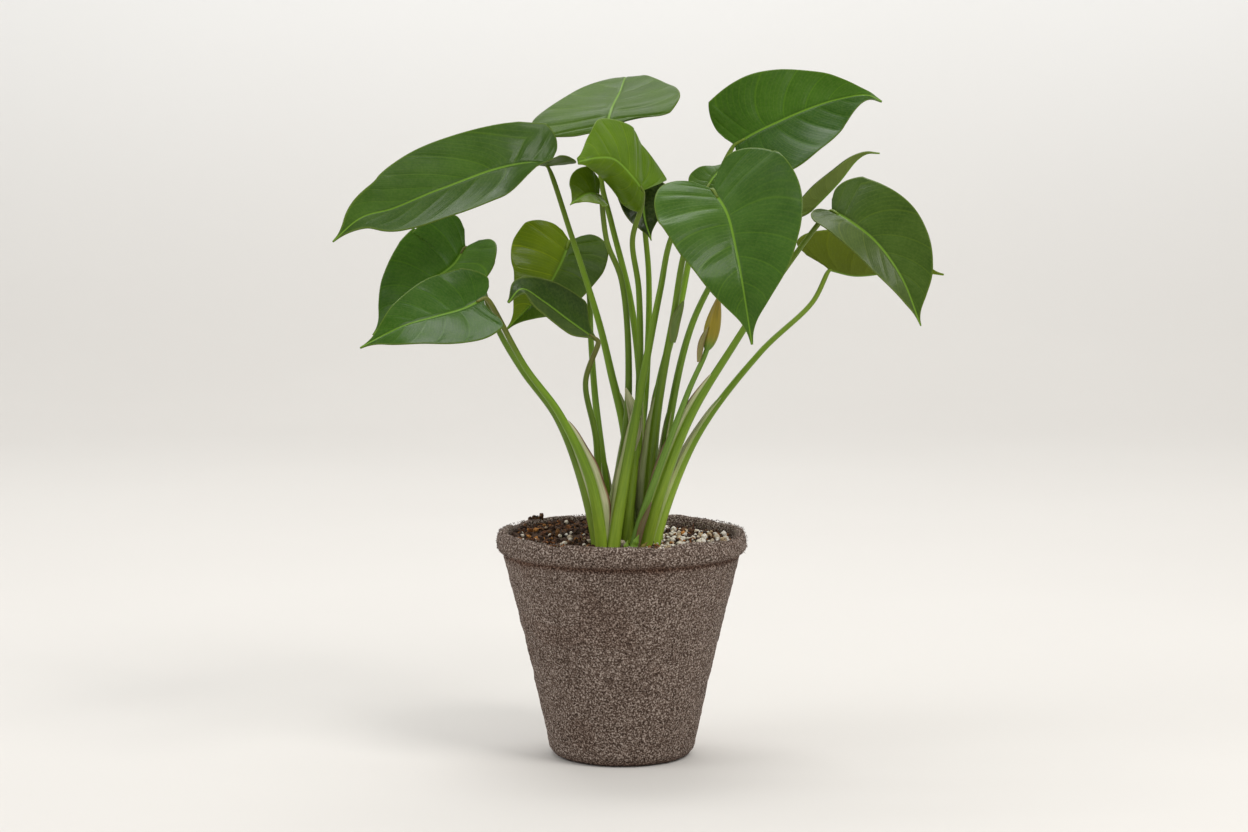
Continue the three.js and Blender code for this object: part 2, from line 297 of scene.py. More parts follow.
class Shader:
    """Builds the nodes of one material."""

    def __init__(self, name, **settings):
        self.material = bpy.data.materials.new(name)
        self.material.use_nodes = True
        self.tree = self.material.node_tree
        self.surface = self.tree.nodes["Principled BSDF"]
        for socket, value in settings.items():
            self.surface.inputs[socket.replace("_", " ")].default_value = value
        self.place = self.node("TexCoord", {}, "Object")

    def node(self, kind, inputs, output=0, **settings):
        node = self.tree.nodes.new("ShaderNode" + kind)
        for key, value in settings.items():
            setattr(node, key, value)
        for socket, value in inputs.items():
            if isinstance(value, bpy.types.NodeSocket):
                self.tree.links.new(value, node.inputs[socket])
            else:
                node.inputs[socket].default_value = value
        return node.outputs[output]

    def attribute(self, name, output="Fac"):
        return self.node("Attribute", {}, output, attribute_name=name)

    def noise(self, size, detail=3, roughness=0.55, vector=None):
        """Noise with features of the given size in millimetres."""
        where = self.place if vector is None else vector
        values = {"Vector": where, "Scale": 1 / (size * MM)}
        values |= {"Detail": detail, "Roughness": roughness}
        return self.node("TexNoise", values)

    def math(self, operation, a, b=0.0):
        return self.node("Math", {0: a, 1: b}, operation=operation)

    def from_middle(self, value):
        """How far a value is from the middle of its whole-numbered step."""
        return self.math("ABSOLUTE", self.math("SUBTRACT", self.math("FRACT", value), 0.5))

    def step(self, value, low, high, to_low=0.0, to_high=1.0):
        """to_low up to low, to_high from high on, with an easy slope between."""
        values = {"Value": value, "From Min": low, "From Max": high}
        values |= {"To Min": to_low, "To Max": to_high}
        return self.node("MapRange", values, interpolation_type="SMOOTHSTEP")

    def mix(self, share, a, b, blend="MIX"):
        a, b = (c if isinstance(c, bpy.types.NodeSocket) else (*c, 1) for c in (a, b))
        return self.node("Mix", {0: share, 6: a, 7: b}, 2, data_type="RGBA", blend_type=blend)

    def times(self, colour, factor):
        return self.mix(1.0, colour, factor, "MULTIPLY")

    def ramp(self, value, stops):
        node = self.tree.nodes.new("ShaderNodeValToRGB")
        self.tree.links.new(value, node.inputs[0])
        marks = node.color_ramp.elements
        while len(marks) < len(stops):
            marks.new(0.5)
        for mark, (at, colour) in zip(marks, stops):
            mark.position = at
            mark.color = (*colour, 1)
        return node.outputs[0]

    def bump(self, height, distance, strength=1.0, below=None):
        values = {"Height": height, "Distance": distance * MM, "Strength": strength}
        if below is not None:
            values["Normal"] = below
        return self.node("Bump", values)

    def finish(self, colour=None, roughness=None, normal=None):
        for socket, value in (("Base Color", colour), ("Roughness", roughness), ("Normal", normal)):
            if value is not None:
                self.tree.links.new(value, self.surface.inputs[socket])
        return self.material


HAIRLINES = 7  # fine veins from one side vein to the next


def leaf_material():
    """Glossy green: side veins, hairlines between them, a pale rib and rim, a matt underside."""
    s = Shader("leaf_blade", Specular_IOR_Level=0.1, Coat_Weight=0.06, Coat_Roughness=0.12)
    tint = s.attribute("tint", "Vector")
    vein, off, edge, under = (s.attribute(k) for k in ("vein", "off", "edge", "under"))
    mottle = s.noise(13, 4)
    fine = s.noise(1.1, 2)
    colour = s.mix(s.step(mottle, 0.3, 0.7), s.times(tint, (0.72, 0.78, 0.7)), tint)
    colour = s.mix(s.step(fine, 0.35, 0.7, 0.0, 0.1), colour, (0.16, 0.22, 0.05))
    lateral = s.step(s.from_middle(vein), 0.45, 0.5)
    between = s.from_middle(s.math("MULTIPLY", vein, HAIRLINES))
    hairline = s.step(between, 0.32, 0.5, 0.0, 0.2)
    pale = s.times(tint, (1.9, 1.6, 1.1))
    colour = s.mix(s.math("MULTIPLY", lateral, 0.36), colour, pale)
    colour = s.mix(hairline, colour, pale)
    underside = s.mix(0.35, pale, srgb(112, 122, 44))
    colour = s.mix(s.math("MULTIPLY", under, 0.4), colour, underside)
    midrib = s.step(off, 0.85, 0.25)
    colour = s.mix(s.math("MULTIPLY", midrib, 0.7), colour, srgb(112, 150, 44))
    rim = s.step(edge, 0.7, 0.15)
    colour = s.mix(s.math("MULTIPLY", rim, 0.3), colour, srgb(118, 136, 48))
    gloss = s.step(mottle, 0.25, 0.75, 0.27, 0.43)
    rough = s.math("ADD", gloss, s.math("MULTIPLY", under, 0.22))
    height = s.math("SUBTRACT", s.math("MULTIPLY", fine, 0.5), s.math("MULTIPLY", hairline, 2.0))
    return s.finish(colour, rough, s.bump(height, 0.12, 0.5))


def stalk_material():
    """Green streaked along the stalk, with cream sheaths and dry brown edges."""
    s = Shader("petiole", Specular_IOR_Level=0.3, Coat_Weight=0.05, Coat_Roughness=0.35)
    tint = s.attribute("tint", "Vector")
    grain = s.attribute("grain", "Vector")
    grain = s.node("VectorMath", {0: grain, 1: (MM, MM, MM)}, operation="MULTIPLY")
    streak = s.noise(0.9, 3, vector=grain)
    blotch = s.noise(9, 3)
    fibres = s.step(streak, 0.3, 0.7)
    colour = s.mix(fibres, s.times(tint, (0.74, 0.8, 0.7)), tint)
    colour = s.mix(s.step(blotch, 0.45, 0.75, 0.0, 0.25), colour, srgb(112, 140, 48))
    cream = s.mix(fibres, srgb(168, 172, 128), srgb(203, 200, 165))
    colour = s.mix(s.attribute("cream"), colour, cream)
    dry = s.mix(fibres, srgb(74, 46, 32), srgb(138, 98, 70))
    colour = s.mix(s.attribute("brown"), colour, dry)
    rough = s.step(streak, 0.2, 0.8, 0.38, 0.52)
    return s.finish(colour, rough, s.bump(streak, 0.25, 0.5))


def fibre_material():
    """Matt moulded fibre: brown-grey flecks, darker patches, water stains, and a painted shadow under
    the band.
    """
    s = Shader("moulded_fibre", Specular_IOR_Level=0.25)
    grain = s.noise(0.8, 1.5, 0.5)
    fleck = s.noise(0.42, 2, 0.5)
    patch = s.noise(22, 3)
    both = s.math("ADD", s.math("MULTIPLY", grain, 0.7), s.math("MULTIPLY", fleck, 0.3))
    stops = [
        (0.37, srgb(50, 38, 31)), (0.46, srgb(84, 69, 60)),
        (0.54, srgb(120, 104, 94)), (0.64, srgb(180, 167, 157)),
    ]
    colour = s.ramp(both, stops)
    darker = s.times(colour, (0.72, 0.68, 0.66))
    colour = s.mix(s.step(patch, 0.35, 0.7, 0.0, 0.3), colour, darker)
    # Where the mask is set the fibre darkens: a painted shadow under the band, darker towards the foot,
    # and stains.
    darkened_by_stain_and_shade = s.times(colour, (0.5, 0.34, 0.26))
    colour = s.mix(s.math("MULTIPLY", s.attribute("stain_and_painted_shade"), 0.9), colour, darkened_by_stain_and_shade)
    return s.finish(colour, s.step(grain, 0.3, 0.7, 0.98, 0.86), s.bump(both, 1.1, 0.8))


def soil_material():
    """Damp peat: each lump's tint, broken up by light and dark grains."""
    s = Shader("peat_soil", Specular_IOR_Level=0.3)
    grain = s.noise(1.4, 4, 0.65)
    patch = s.noise(9, 3)
    tint = s.attribute("tint", "Vector")
    dark, light = s.times(tint, (0.35, 0.33, 0.32)), s.times(tint, (1.5, 1.4, 1.3))
    colour = s.mix(s.step(grain, 0.35, 0.68), dark, light)
    colour = s.mix(s.step(patch, 0.4, 0.7, 0.0, 0.35), colour, srgb(38, 26, 17))
    return s.finish(colour, s.step(grain, 0.3, 0.7, 1.0, 0.82), s.bump(grain, 0.9, 0.8))


def perlite_material():
    """Chalky white grains with dirt in their hollows."""
    s = Shader("perlite", Specular_IOR_Level=0.4)
    grain = s.noise(0.6, 4, 0.6)
    patch = s.noise(3.2, 3)
    tint = s.attribute("tint", "Vector")
    colour = s.mix(s.step(grain, 0.3, 0.65), s.times(tint, (0.62, 0.58, 0.52)), tint)
    colour = s.mix(s.step(patch, 0.52, 0.75, 0.0, 0.45), colour, srgb(150, 122, 88))
    return s.finish(colour, s.step(grain, 0.3, 0.7, 0.95, 0.75), s.bump(grain, 0.35, 0.8))


LEAF = leaf_material()
STALK = stalk_material()
FIBRE = fibre_material()
PEAT = soil_material()
GRIT = perlite_material()


def show(thing, material, slot, *nodes):
    """Gives a piece its material, hangs it under the root body, and hides the nodes of the part that it
    stands for.
    """
    thing.data.materials.append(material)
    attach(thing, "root")
    if nodes:
        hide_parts(*nodes)
    return thing


# ---- Pot ----


def outer_radius(z):
    """The pot's radius below the band: a cone that is a little hollow half way up."""
    share = np.clip(z / BAND_FOOT, 0, 1)
    return BASE_RADIUS + (NECK_RADIUS - BASE_RADIUS) * share - 0.8 * np.sin(np.pi * share)


def pot_profile():
    """Radius and height from under the foot, up the outside, over the rim and down the inside."""
    h, r, foot, inner = POT_HEIGHT, RIM_RADIUS, BAND_FOOT, NECK_RADIUS - WALL
    shown = [(BASE_RADIUS - 4, 0), (BASE_RADIUS - 1.2, 1.2)]
    shown += [(outer_radius(z), z) for z in np.linspace(4, foot - 2, 12)]
    shown += [(NECK_RADIUS - 0.7, foot - 0.4), (r - 1.5, foot + 0.5), (r - 0.3, foot + 2.4)]
    shown += [(r, foot + 5), (r - 0.4, h - 2.4), (r - 1.5, h - 0.6), (r - 3, h)]
    shown += [(r - 4.6, h - 0.7), (r - 5.5, h - 2.8), (inner, foot), (inner - 1.5, foot - 6)]
    shown = np.array(shown, float)
    run = distances(shown)
    even = np.arange(0, run[-1], POT_STEP)
    profile = np.stack([np.interp(even, run, shown[:, k]) for k in (0, 1)], 1)
    hidden = [(BASE_RADIUS, 7.3), (BASE_RADIUS - 6, POT_FLOOR)]
    return np.vstack([profile, hidden])


def pot():
    """The pot's turned shape, made uneven as pressed fibre is, with water stains in a few patches,
    darker towards its foot, and a painted shadow under its band.
    """
    profile = pot_profile()
    rows, columns = len(profile), POT_COLUMNS
    points = turned(profile[:, :1], profile[:, 1:], columns)
    slope = unit(np.gradient(profile, axis=0))
    normals = turned(slope[:, 1:], -slope[:, :1], columns)

    # The crest rises and falls, the wall is out of round, and its surface is grainy.
    away = unit(points[:, :2])
    around = np.column_stack([away * RIM_RADIUS, np.zeros(len(points))])
    crest = smooth(points[:, 2], POT_HEIGHT - 8, POT_HEIGHT - 1)
    points[:, 2] += crest * (0.9 * noise(around, 17, 3) + 0.55 * noise(around, 6, 4))
    sway = 0.5 * noise(around + (0, 0, 90), 30, 5)
    points[:, :2] += away * sway[:, None] * smooth(points[:, 2], 20, POT_HEIGHT)[:, None]
    grain = 0.3 * noise(points, 6, 6) + 0.2 * noise(points, 2.1, 7) + 0.2 * noise(points, 1.0, 8)
    foot_fade = smooth(points[:, 2], 0, 3)
    points += normals * (grain * (0.3 + 0.7 * foot_fade))[:, None]
    points[:, 2] = np.maximum(points[:, 2], 0)

    # A painted shadow darkens the wall just under the band's overhang, the wall grows darker towards the
    # foot, and stains lie in a few patches.
    outside = profile[:, 0].repeat(columns) > NECK_RADIUS - 3
    painted_shadow_under_band = np.exp(-(((points[:, 2] - BAND_FOOT + 0.6) / 1.6) ** 2)) * outside
    at_foot = 0.7 * (1 - smooth(points[:, 2], 0.5, 5))
    stain_and_painted_shade = np.clip(painted_shadow_under_band + at_foot + 0.25 * (noise(points, 16, 9) > 0.5), 0, 1)

    faces = turned_faces(rows, columns, downwards=False)
    points = np.vstack([points, [0, 0, 0.4], [0, 0, POT_FLOOR]])
    thing = mesh_object("pot_fibre", points, faces, {"stain_and_painted_shade": np.append(stain_and_painted_shade, [0, 0])})
    return show(thing, FIBRE, "fibre", "pot")


def strand(start, heading, length, radius, droop=0.5, sides=4, steps=4):
    """A tapered hair that leaves start along heading and droops."""
    along = np.linspace(0, 1, steps + 1)[:, None]
    line = start + along * heading * length - np.array([0, 0, droop]) * length * along**2
    tangent, aside = carried_frames(line, np.cross(heading, (0.3, 0.5, 0.8)))
    ring = spokes(aside, np.cross(tangent, aside), angles(sides))
    wide = radius * (1 - 0.75 * along)
    points = (line[:, None] + ring * wide[:, None]).reshape(-1, 3)
    return points, tube_faces(steps + 1, sides), {"stain_and_painted_shade": np.zeros(len(points))}


def rim_fibres():
    """Short loose fibres all over the rim's band and crest."""
    parts = []
    for turn in RNG.uniform(0, 2 * np.pi, RIM_FIBRES):
        out = np.array([math.cos(turn), math.sin(turn), 0])
        if RNG.uniform() < OUTSIDE_FIBRES:
            radius, height = RIM_RADIUS - 0.2, POT_HEIGHT - RNG.uniform(2, 9)
            heading = unit(out * 0.8 + RNG.normal(0, 0.6, 3))
        else:
            inward = RNG.uniform(0.6, 5)
            radius, height = RIM_RADIUS - inward, POT_HEIGHT - 0.9 + 0.6 * math.sin(inward * 0.6)
            sideways = out * RNG.uniform(-0.6, 0.8) + RNG.normal(0, 0.6, 3)
            heading = unit(sideways + np.array([0, 0, 0.7]))
        start = out * radius + np.array([0, 0, height])
        length, thick, droop = RNG.uniform(0.4, 1.1), RNG.uniform(0.1, 0.22), RNG.uniform(0, 0.5)
        parts.append(strand(start, heading, length, thick, droop))
    thing = mesh_object("rim_fibres", *joined(parts))
    return show(thing, FIBRE, "fibre")


# ---- Soil ----


def soil_height(x, y):
    """The soil's surface, which rises towards the back and its left and mounds round the stems."""
    p = np.stack([np.broadcast_to(x, np.shape(y)), y, np.zeros(np.shape(y))], -1).reshape(-1, 3)
    far = np.hypot(p[:, 0], p[:, 1])
    back_left = 3.2 * smooth(far, 25, 52) * smooth(p[:, 1] - p[:, 0], 0, 60)
    lift = back_left + 1.4 * (1 - smooth(far, 8, 26)) + 1.6 * smooth(p[:, 1], -20, 30)
    bumps = 0.9 * noise(p, 11, 11) + 0.6 * noise(p, 4, 12) + 0.45 * noise(p, 1.7, 13)
    return (SOIL_TOP + 0.6 + lift + bumps).reshape(np.shape(y))


def soil():
    """The bed of soil, which fills the pot down to its floor."""
    wall = NECK_RADIUS - WALL - 0.4
    rings, columns = SOIL_RINGS, SOIL_COLUMNS
    turn = angles(columns)
    radius = np.linspace(0.6, wall, rings)[:, None]
    x, y = radius * np.cos(turn), radius * np.sin(turn)
    top = turned(radius, soil_height(x, y), columns)
    under_radius = np.array([[wall - 2], [BASE_RADIUS + 1], [BASE_RADIUS - 7]])
    under = turned(under_radius, np.array([[BAND_FOOT - 6], [12], [SOIL_UNDERSIDE]]), columns)
    middle = soil_height(np.zeros(1), np.zeros(1))[0]
    points = np.vstack([top, under, [0, 0, middle], [0, 0, SOIL_UNDERSIDE]])
    faces = turned_faces(rings + len(under_radius), columns, downwards=True)
    tint = np.tile(srgb(72, 51, 34), (len(points), 1))
    thing = mesh_object("soil_bed", points, faces, {"tint": tint})
    return show(thing, PEAT, "soil", "soil")


def ball(subdivisions):
    """The points and triangles of a ball of radius 1."""
    shape = bmesh.new()
    bmesh.ops.create_icosphere(shape, subdivisions=subdivisions, radius=1)
    points = np.array([v.co[:] for v in shape.verts])
    faces = np.array([[v.index for v in f.verts] for f in shape.faces])
    shape.free()
    return points, faces


def random_turns(count):
    """Matrices that turn things at random."""
    q = unit(RNG.normal(size=(count, 4)))
    w, x, y, z = q.T
    return np.stack([
        np.stack([1 - 2 * (y * y + z * z), 2 * (x * y - z * w), 2 * (x * z + y * w)], 1),
        np.stack([2 * (x * y + z * w), 1 - 2 * (x * x + z * z), 2 * (y * z - x * w)], 1),
        np.stack([2 * (x * z - y * w), 2 * (y * z + x * w), 1 - 2 * (x * x + y * y)], 1),
    ], 1)


def scattered(name, places, sizes, stretch, rough, tints, subdivisions, material, slot, nodes=()):
    """Rough lumps in one mesh: a ball each, stretched, dented and turned."""
    base, faces = ball(subdivisions)
    count = len(places)
    scale = sizes[:, None] * stretch
    shape = base[None] * (1 + rough * RNG.normal(size=(count, len(base), 1)).clip(-1.6, 1.6))
    shape = np.einsum("nij,nkj->nki", random_turns(count), shape * scale[:, None])
    points = (shape + places[:, None]).reshape(-1, 3)
    all_faces = (faces[None] + (np.arange(count) * len(base))[:, None, None]).reshape(-1, 3)
    tint = np.repeat(tints, len(base), axis=0)
    thing = mesh_object(name, points, [all_faces], {"tint": tint}, smooth_faces=False)
    return show(thing, material, slot, *nodes)


def soil_places(count, reach=1.0):
    """Places on the soil, spread evenly out to the pot's wall."""
    wall = (NECK_RADIUS - WALL - 1.5) * reach
    radius = wall * np.sqrt(RNG.uniform(0, 1, count))
    turn = RNG.uniform(0, 2 * np.pi, count)
    x, y = radius * np.cos(turn), radius * np.sin(turn)
    return np.stack([x, y, soil_height(x, y)], 1)


def picked(count, shades):
    """A colour for each of count lumps, drawn from (share, screen colour) pairs."""
    shares, colours = zip(*shades)
    return np.array([srgb(*c) for c in colours])[RNG.choice(len(shades), count, p=shares)]


def crumbs():
    """Crumbs of peat on the bed, and a few spilt on the rim at the back left."""
    count, spilt = 2600, 16
    places = soil_places(count)
    sizes = RNG.lognormal(math.log(0.62), 0.42, count).clip(0.3, 1.9)
    places[:, 2] += sizes * 0.25
    on_rim = RNG.normal((-42, 38, POT_HEIGHT + 0.2), (2.4, 2.4, 0.5), (spilt, 3))
    on_rim[:, :2] = unit(on_rim[:, :2]) * (RIM_RADIUS - 3)
    places[:spilt], sizes[:spilt] = on_rim, 1.1
    tints = picked(count, [
        (0.36, (60, 41, 27)), (0.28, (84, 58, 38)), (0.18, (44, 30, 20)),
        (0.1, (116, 80, 46)), (0.08, (172, 120, 62)),
    ])
    stretch = RNG.uniform(0.55, 1.35, (count, 3))
    return scattered("soil_crumbs", places, sizes, stretch, 0.2, tints, 1, PEAT, "soil")


def bark():
    """Flat chips of bark."""
    count = 150
    places = soil_places(count)
    sizes = RNG.uniform(0.9, 2.1, count)
    places[:, 2] += 0.5
    tints = picked(count, [
        (0.35, (124, 80, 42)), (0.3, (92, 58, 34)), (0.2, (158, 112, 66)), (0.15, (70, 46, 30)),
    ])
    spans = ((1, 1.9), (0.5, 0.9), (0.2, 0.4))
    stretch = np.stack([RNG.uniform(low, high, count) for low, high in spans], 1)
    return scattered("bark_chips", places, sizes, stretch, 0.16, tints, 1, PEAT, "soil")


def perlite():
    """White grains, thick on the right and thin elsewhere."""
    spread = soil_places(1500, 0.97)
    right = smooth(spread[:, 0], 8, 26) * (1 - 0.55 * smooth(spread[:, 1], 8, 34))
    left = 0.1 * (spread[:, 1] < 8) + 0.04
    places = spread[RNG.uniform(size=len(spread)) < np.maximum(0.8 * right, left)]
    count = len(places)
    sizes = RNG.lognormal(math.log(0.84), 0.32, count).clip(0.4, 1.6)
    places[:, 2] += sizes * 0.45
    tints = picked(count, [
        (0.36, (226, 219, 206)), (0.26, (208, 196, 176)),
        (0.24, (238, 234, 226)), (0.14, (186, 164, 132)),
    ])
    nodes = sorted(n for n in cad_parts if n.startswith("perlite_"))
    stretch = RNG.uniform(0.75, 1.2, (count, 3))
    return scattered("perlite_grains", places, sizes, stretch, 0.1, tints, 2, GRIT, "perlite", nodes)


# ---- The plant, leaf by leaf ----
# Routes are in millimetres from the middle of the soil's flat top, x to the right and y to the back.
# A blade's left and right halves are as seen with its face up, from the petiole towards the tip.
# petiole: the route from the soil to the blade.  rib: the rest of the route, to the tip.
# half: how wide each half is.  lobe: how far each half reaches back past the petiole's end.
# belly: an exponent; the lower, the nearer the tip is the widest place.  faces: where the face looks.
# fold and curl: how each half stands up from the rib, and bends further out, in degrees.
# lift: how much more each half stands up beside the petiole, in degrees.
# start: how far along the rib each half's edge is set forward.
# full: an exponent under 1 that makes an outline rounder.
# taper: how far along the rib a blade with no lobes takes to reach its width.
# steady: how much both halves keep to the straight line from the joint to the tip.
# tint: the colours of the two halves, the leaf's green with painted light and shade in some of them.
# veins: side veins to each half.  wave: the margin's ripple.
# girth: the petiole's thickness.  sheath: how far up it the sheath reaches, and its width.
# dry: how cream and brown the sheath is.

# What a leaf has where its own entry says nothing.
PLAIN = dict(
    lobe=[0.6, 0.6], belly=1, lift=[0, 0], start=[0, 0], full=1, steady=0, taper=None,
    veins=8, wave=0.5, dry=0.3,
)

LEAVES = {
    "01": dict(petiole=[[4, -2, 0], [2, -1, 51], [-5, -2, 83], [-11, -3, 108], [-24, -2, 149],
            [-35, 1, 181]],
        rib=[[-44, -2, 183], [-60, -7, 180], [-85, -16, 171], [-107, -25, 162], [-121, -30, 158],
            [-134, -35, 147]],
        half=[21, 23], lobe=[0.65, 0.35], belly=0.52, faces=[0, -0.78, 0.62], lift=[58, 0],
        fold=[4, 8], curl=[8, 10], tint=[(52, 78, 24), (58, 88, 22)], veins=9, girth=1.1,
        sheath=(0.42, 6)),
    "02": dict(petiole=[[-11.5, -9, 0], [-19, -4, 32], [-31, 6, 61], [-48, 15, 83],
            [-61, 25, 104], [-75, 36, 141]],
        rib=[[-82, 34, 133], [-93, 32, 125], [-107, 29, 115], [-121, 27, 99]],
        half=[28, 29], lobe=[0.9, 1.15], belly=0.9, faces=[-0.3, -0.75, 0.6], fold=[8, 8],
        curl=[8, 8], tint=[(60, 96, 10), (52, 88, 10)], veins=7, wave=0.6, girth=1.05,
        sheath=(0.5, 5), dry=0.8),
    "03": dict(petiole=[[-9.5, -16, 0], [-15, -21, 34], [-29, -29, 66], [-45, -35, 89], [-62, -44, 121]],
        rib=[[-73, -52, 117], [-85, -61, 114], [-100, -70, 110], [-118, -77, 101]],
        half=[26, 21], lobe=[0.3, 0.8], belly=0.9, faces=[0, -0.66, 0.75], start=[0.12, 0],
        fold=[4, 8], curl=[6, 8], tint=[(46, 80, 6), (46, 80, 8)], girth=1.1, sheath=(0.5, 7.5),
        dry=1),
    "04": dict(petiole=[[-4, -2, 0], [-9, 10, 37], [-13, 24, 69], [-15, 32, 94], [-17, 40, 125],
            [-24, 44, 144]],
        rib=[[-30, 40, 133], [-37, 33, 121], [-47, 26, 111], [-56, 22, 102]],
        half=[25, 26], faces=[-0.2, -0.9, 0.35], fold=[8, 10], curl=[8, 10],
        # The second half's bright yellow-green is painted light, the glow of a half lit from behind.
        tint=[(62, 88, 6), (106, 128, 16)], veins=7, girth=0.85, sheath=(0.3, 3), dry=0.2),
    "05": dict(petiole=[[-12, -2, 0], [-12, -13, 51], [-17, -25, 81], [-11, -34, 100]],
        rib=[[-22, -40, 109], [-36, -46, 120], [-46, -51, 126], [-52, -55, 120]],
        half=[8, 12], lobe=[0.2, 0.2], belly=0.65, faces=[0.25, -0.5, 0.85], taper=0.3, full=0.7,
        fold=[-4, 10], curl=[-10, 45], tint=[(56, 74, 30), (44, 66, 18)], girth=0.8,
        sheath=(0.35, 2.5), dry=0.2),
    "06": dict(petiole=[[8, 7, 0], [9, 10, 74], [4, 12, 117], [-5, 12, 154], [-10, 10, 176],
            [-8, 8, 197]],
        rib=[[-5, 20, 208], [-1, 38, 217], [2, 54, 224], [4, 64, 221]],
        half=[40, 33], lobe=[0.3, 0.3], faces=[0, -0.3, 0.95], start=[0, 0.16], fold=[-6, 6],
        curl=[-6, 4], tint=[(64, 92, 18), (60, 88, 12)], veins=7, wave=0.6, girth=0.95,
        sheath=(0.4, 3.5), dry=0.2),
    "07": dict(petiole=[[2, -9, 0], [8, -9, 70], [8, -11, 123], [5, -11, 147], [9, -15, 162],
            [10, -19, 169]],
        rib=[[6, -25, 176], [-3, -31, 185], [-11, -39, 186], [-20, -45, 184]],
        half=[13, 29], lobe=[0.8, 2.6], faces=[0.3, -0.75, 0.6], steady=0.65, full=0.6,
        fold=[-20, 2], curl=[-60, -4], tint=[(84, 112, 12), (82, 112, 8)], wave=1.0, girth=1,
        sheath=(0.4, 3.5)),
    "08": dict(petiole=[[12, -2, 0], [16, -8, 60], [24, -18, 109], [30, -27, 145], [41, -40, 171]],
        rib=[[48, -53, 161], [52, -64, 144], [55, -71, 127], [59, -70, 102]],
        half=[36, 32], lobe=[1, 1], faces=[0, -0.95, 0.3], fold=[8, 8], curl=[6, 6],
        tint=[(56, 88, 26), (60, 92, 26)], wave=0.9, girth=1.25, sheath=(0.42, 7), dry=0.4),
    "09": dict(petiole=[[15, 6, 0], [17, 15, 69], [28, 24, 113], [37, 32, 153], [54, 40, 190]],
        rib=[[69, 42, 199], [87, 44, 207], [105, 46, 213], [120, 46, 215], [127, 46, 212]],
        half=[28, 34], lobe=[0.3, 0.3], belly=0.85, faces=[-0.1, -0.8, 0.6], fold=[8, 6],
        curl=[8, 6], tint=[(58, 94, 14), (42, 76, 6)], wave=0.8, girth=1.05, sheath=(0.4, 3.5)),
    "10": dict(petiole=[[17, 4, 0], [23, 16, 59], [37, 32, 111], [60, 42, 144], [91, 50, 158]],
        rib=[[106, 48, 173], [115, 46, 184], [120, 45, 187], [126, 44, 187]],
        half=[8, 8], lobe=[1, 1], faces=[-0.5, 0, 0.85], fold=[60, 55], curl=[10, 10],
        # The pale grey-green is partly the paler underside and partly a painted sheen, the grey
        # highlight on a dark green leaf.
        tint=[(92, 112, 58), (92, 112, 58)], wave=0.2, girth=0.95, sheath=(0.35, 3), dry=0.2),
    "11": dict(petiole=[[11, -10, 0], [30, -16, 59], [53, -22, 99], [71, -27, 127], [96, -34, 161]],
        rib=[[105, -44, 157], [117, -53, 147], [128, -60, 131], [136, -64, 110]],
        half=[24, 12], belly=0.68, faces=[-0.1, -0.75, 0.6], fold=[8, 4], curl=[6, 4],
        tint=[(60, 84, 24), (70, 88, 40)], girth=1.2, sheath=(0.5, 7.5), dry=0.8),
    "12": dict(petiole=[[15.5, -4, 0], [35, 9, 50], [67, 23, 91], [93, 33, 115], [101, 36, 130]],
        rib=[[114, 39, 128], [131, 44, 129], [146, 49, 129], [159, 54, 127]],
        half=[20, 25], lobe=[1, 2.3], faces=[0, 0, 1], fold=[30, 52], curl=[10, 10],
        tint=[(64, 88, 4), (74, 92, 2)], wave=0.4, girth=1, sheath=(0.5, 4)),
    "13": dict(petiole=[[-6, -9, 0], [3, -9, 70], [0, -8, 127], [-7, -12, 146], [-10, -17, 167]],
        rib=[[-15, -22, 169], [-20, -28, 167], [-24, -31, 164]],
        half=[9, 14], faces=[0.1, -0.8, 0.6], fold=[5, 10], curl=[5, 5],
        tint=[(80, 104, 6), (74, 98, 6)], veins=6, girth=0.9, sheath=(0.35, 3)),
    "14": dict(petiole=[[2, 14, 0], [11, 18, 68], [13, 18, 126], [11, 17, 151], [9, 12, 171]],
        rib=[[10, 8, 165], [11, 4, 156], [14, 2, 146]],
        half=[13, 13], faces=[0.2, -0.9, 0.4], fold=[5, 5], curl=[5, 5],
        # The very dark green is painted shade, for a leaf that hangs in shadow behind another.
        tint=[(26, 42, 2), (26, 42, 2)], veins=6, wave=0.4, girth=0.9, sheath=(0.35, 3), dry=0.2),
    "15": dict(petiole=[[-4, -17, 0], [8, -16, 71], [18, -15, 123], [24, -6, 149], [40, 9, 170]],
        rib=[[44, 14, 176], [48, 18, 180], [51, 22, 183]],
        half=[11, 13], faces=[-0.3, -0.6, 0.7], fold=[10, 10], curl=[5, 5],
        tint=[(62, 92, 26), (60, 90, 22)], veins=6, wave=0.4, girth=1.1, sheath=(0.4, 4), dry=0.5),
}

# The outline of half a blade: along the rib, and out from it, as shares.
OUTLINE = [
    [-0.11, 0.2], [-0.16, 0.42], [-0.12, 0.7], [0.02, 0.93], [0.2, 1],
    [0.4, 0.88], [0.6, 0.62], [0.76, 0.31], [0.87, 0.11], [0.94, 0.04], [1, 0.015],
]
RIPPLES = (14, 17)  # how fast the left and the right margin ripple


def planted(points):
    """Route points in the part's frame."""
    return np.array(points, float) + (0, 0, SOIL_TOP)


def outline_at(rows):
    """The outline's place along the rib and its width, for shares of the way round it."""
    flat = centripetal([[x, y, 0] for x, y in OUTLINE], 400)[0]
    even = np.linspace(0, 1, len(flat))
    return np.interp(rows, even, flat[:, 0]), np.interp(rows, even, flat[:, 1])


def by_half(right, pair):
    """The pair's second value for points on the right half, and its first for the others."""
    return np.where(right, pair[1], pair[0])


def edge_of(leaf, row, right):
    """Where each row's edge is along the rib, and how far out, as shares."""
    along, out = outline_at(row)
    along = np.where(along < 0, along * by_half(right, leaf["lobe"]), np.abs(along) ** leaf["belly"])
    start = by_half(right, leaf["start"])
    along = start + (1 - start) * along
    out = out ** leaf["full"]
    if leaf["taper"]:
        out = out * smooth(along, -0.05, leaf["taper"])
    return along, out


